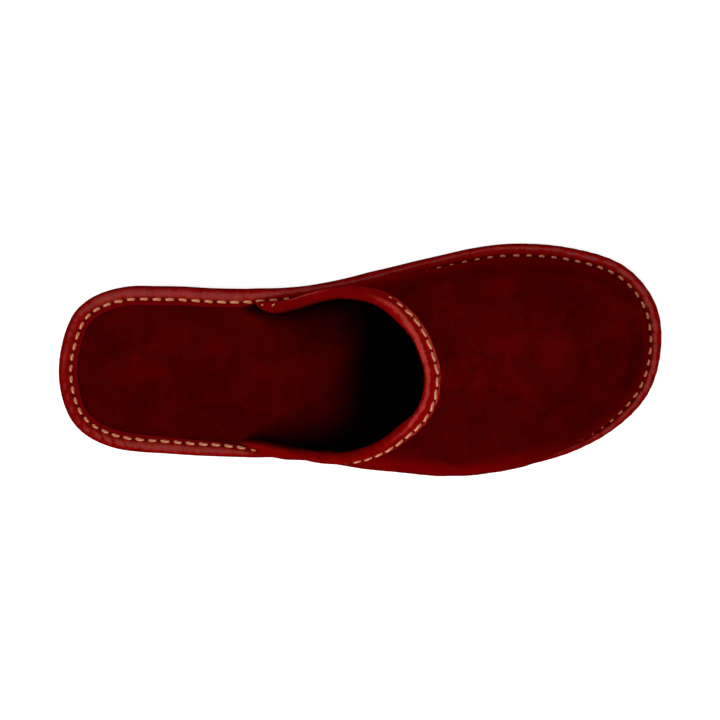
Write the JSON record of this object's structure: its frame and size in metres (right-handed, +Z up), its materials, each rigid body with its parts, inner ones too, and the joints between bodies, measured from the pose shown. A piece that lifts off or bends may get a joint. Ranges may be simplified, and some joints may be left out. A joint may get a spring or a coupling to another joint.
{
  "type": "felt slipper",
  "caption": "Backless house slipper with a napped upper over the toes, a wedge sole and leather binding round sole edge and collar.",
  "frame": {"origin": "middle of the slipper's own box, on the floor under the sole", "axes": "+X towards the toe, +Y towards the inner (big toe) side, +Z up"},
  "size_m": [0.265, 0.1016, 0.0658],
  "materials": {
    "outsole": "matte",
    "midsole": "matte",
    "insole": null,
    "upper": null,
    "sole_binding": "satin",
    "collar_binding": "satin"
  },
  "bodies": {
    "root": {"outsole": "outsole", "midsole": "midsole", "insole": "insole", "upper": "upper", "sole_binding": "sole_binding", "collar_binding": "collar_binding"}
  },
  "joints": []
}
